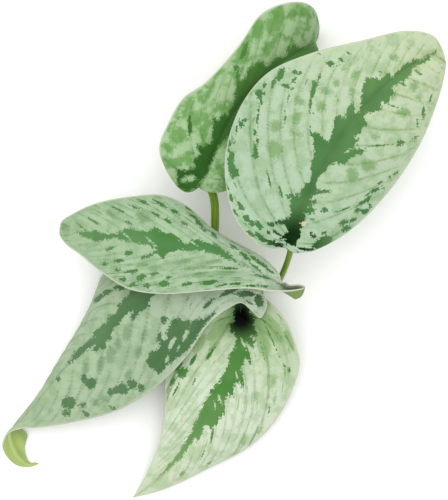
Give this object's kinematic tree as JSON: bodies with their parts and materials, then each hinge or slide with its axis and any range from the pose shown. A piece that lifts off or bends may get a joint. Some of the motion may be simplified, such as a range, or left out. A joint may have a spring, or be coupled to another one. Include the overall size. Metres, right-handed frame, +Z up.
{
  "type": "satin pothos cutting",
  "caption": "Cut spray of a trailing house plant: satiny heart-shaped leaves with silver-green blotches, on curved petioles from a short stem lying on a surface.",
  "frame": {"origin": "middle of the plan of the whole spray, on the surface that it lies on", "axes": "+Z up out of the surface, +X to the right and +Y away along the picture, which looks straight down"},
  "size_m": [0.1604, 0.1809, 0.0457],
  "materials": {
    "blade": "satin",
    "petiole": "satin",
    "stem": "satin"
  },
  "bodies": {
    "root": {"blade_1": "blade", "blade_2": "blade", "blade_3": "blade", "blade_4": "blade", "blade_5": "blade", "petiole_1": "petiole", "petiole_2": "petiole", "petiole_3": "petiole", "petiole_4": "petiole", "petiole_5": "petiole", "stem": "stem"}
  },
  "joints": []
}
